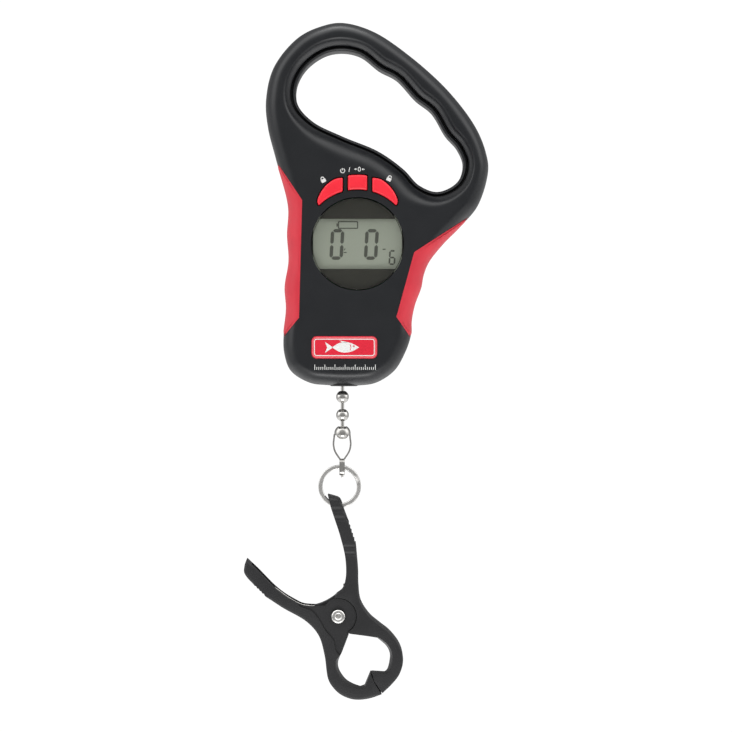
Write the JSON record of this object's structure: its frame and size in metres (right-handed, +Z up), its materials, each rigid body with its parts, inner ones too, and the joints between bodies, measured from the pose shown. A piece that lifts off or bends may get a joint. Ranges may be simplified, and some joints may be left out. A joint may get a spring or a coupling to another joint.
{
  "type": "digital fish scale",
  "caption": "Hand-held digital hanging scale with a looped handle, round display, push buttons, side grips, and a ball chain and ring carrying a sprung lip clamp.",
  "frame": {"origin": "top of the finger opening under the handle's arch, on the line that the load hangs on, midway between the front and rear faces", "axes": "+Z up along the hanging load line, +X to the right of someone reading the display, +Y away from them, out of the rear face"},
  "size_m": [0.1221, 0.027, 0.3376],
  "materials": {
    "shell": "satin moulded ABS",
    "grip": "soft satin rubber",
    "button": "satin moulded",
    "lens": "clear polished acrylic",
    "mask": "dark print behind the lens",
    "lcd": "reflective grey-green display",
    "board": "solder mask",
    "black_plastic": "satin",
    "badge": "printed plate",
    "steel": "bright nickel plate",
    "spring_brass": "plated spring strip",
    "alloy": "machined",
    "cell": "printed sleeve",
    "clamp": "matt glass-filled nylon"
  },
  "bodies": {
    "housing": {"front_housing": "shell", "rear_housing": "shell", "left_grip": "grip", "right_grip": "grip", "badge": "badge", "bottom_bushing": "black_plastic", "housing_screw_1": "steel", "housing_screw_2": "steel", "housing_screw_3": "steel", "housing_screw_4": "steel", "housing_screw_5": "steel", "housing_screw_6": "steel", "switch_left": "black_plastic", "switch_middle": "black_plastic", "switch_right": "black_plastic", "window_lens": "lens", "window_mask": "mask", "lcd_glass": "lcd", "lcd_frame": "black_plastic", "contact_strip": "black_plastic", "circuit_board": "board", "scale_chip": "black_plastic", "battery_left": "cell", "battery_right": "cell", "contact_plate_top": "spring_brass", "contact_plate_bottom": "spring_brass", "battery_spring_left": "spring_brass", "battery_spring_right": "spring_brass", "load_cell": "alloy", "load_cell_screw_1": "steel", "load_cell_screw_2": "steel"},
    "button_left": {"button_left": "button"},
    "button_middle": {"button_middle": "button"},
    "button_right": {"button_right": "button"},
    "battery_door": {"battery_door": "shell"},
    "load_stem": {"load_stem": "steel"},
    "bead_1": {"bead_1": "steel"},
    "link_2": {"bead_pin_1": "steel", "bead_2": "steel"},
    "link_3": {"bead_pin_2": "steel", "bead_3": "steel"},
    "coupling": {"chain_coupling": "steel"},
    "ring": {"split_ring": "steel"},
    "clamp": {"clamp_right": "clamp", "pivot_rivet": "steel", "rivet_washer": "steel", "torsion_spring": "steel"},
    "jaw": {"clamp_left": "clamp"}
  },
  "joints": [
    {"name": "button_left_press", "type": "slide", "parent": "housing", "child": "button_left", "axis": [0, 1, 0], "range_m": [0, 0.0006], "stiffness_N_per_m": 800, "springref_m": -0.0002},
    {"name": "button_middle_press", "type": "slide", "parent": "housing", "child": "button_middle", "axis": [0, 1, 0], "range_m": [0, 0.0006], "stiffness_N_per_m": 800, "springref_m": -0.0002},
    {"name": "button_right_press", "type": "slide", "parent": "housing", "child": "button_right", "axis": [0, 1, 0], "range_m": [0, 0.0006], "stiffness_N_per_m": 800, "springref_m": -0.0002},
    {"name": "battery_door_swing", "type": "hinge", "parent": "housing", "child": "battery_door", "pos_m": [0.0075, 0.013, -0.0714], "axis": [1, 0, 0], "range_deg": [0, 75]},
    {"name": "stem_swivel", "type": "hinge", "parent": "housing", "child": "load_stem", "pos_m": [0, 0, -0.15], "axis": [0, 0, 1], "continuous": true},
    {"name": "bead_1_swing", "type": "hinge", "parent": "load_stem", "child": "bead_1", "pos_m": [0, 0, -0.17035], "axis": [1, 0, 0], "range_deg": [-15, 15]},
    {"name": "bead_2_swing", "type": "hinge", "parent": "bead_1", "child": "link_2", "pos_m": [0, 0, -0.17345], "axis": [0, 1, 0], "range_deg": [-15, 15]},
    {"name": "bead_3_swing", "type": "hinge", "parent": "link_2", "child": "link_3", "pos_m": [0, 0, -0.18255], "axis": [1, 0, 0], "range_deg": [-15, 15]},
    {"name": "coupling_swing", "type": "hinge", "parent": "link_3", "child": "coupling", "pos_m": [0, 0, -0.1901], "axis": [0, 1, 0], "range_deg": [-15, 15]},
    {"name": "ring_swing", "type": "hinge", "parent": "coupling", "child": "ring", "pos_m": [-0.0002, 0, -0.2072], "axis": [1, 0, 0], "range_deg": [-45, 45]},
    {"name": "clamp_swing", "type": "hinge", "parent": "ring", "child": "clamp", "pos_m": [-0.0014, 0, -0.226], "axis": [1, 0, 0], "range_deg": [-60, 60]},
    {"name": "jaw_open", "type": "hinge", "parent": "clamp", "child": "jaw", "pos_m": [-0.00205, 0, -0.28115], "axis": [0, 1, 0], "range_deg": [0, 25], "stiffness_Nm_per_rad": 0.35, "springref_deg": -17.19, "deforming": ["torsion_spring"]}
  ]
}
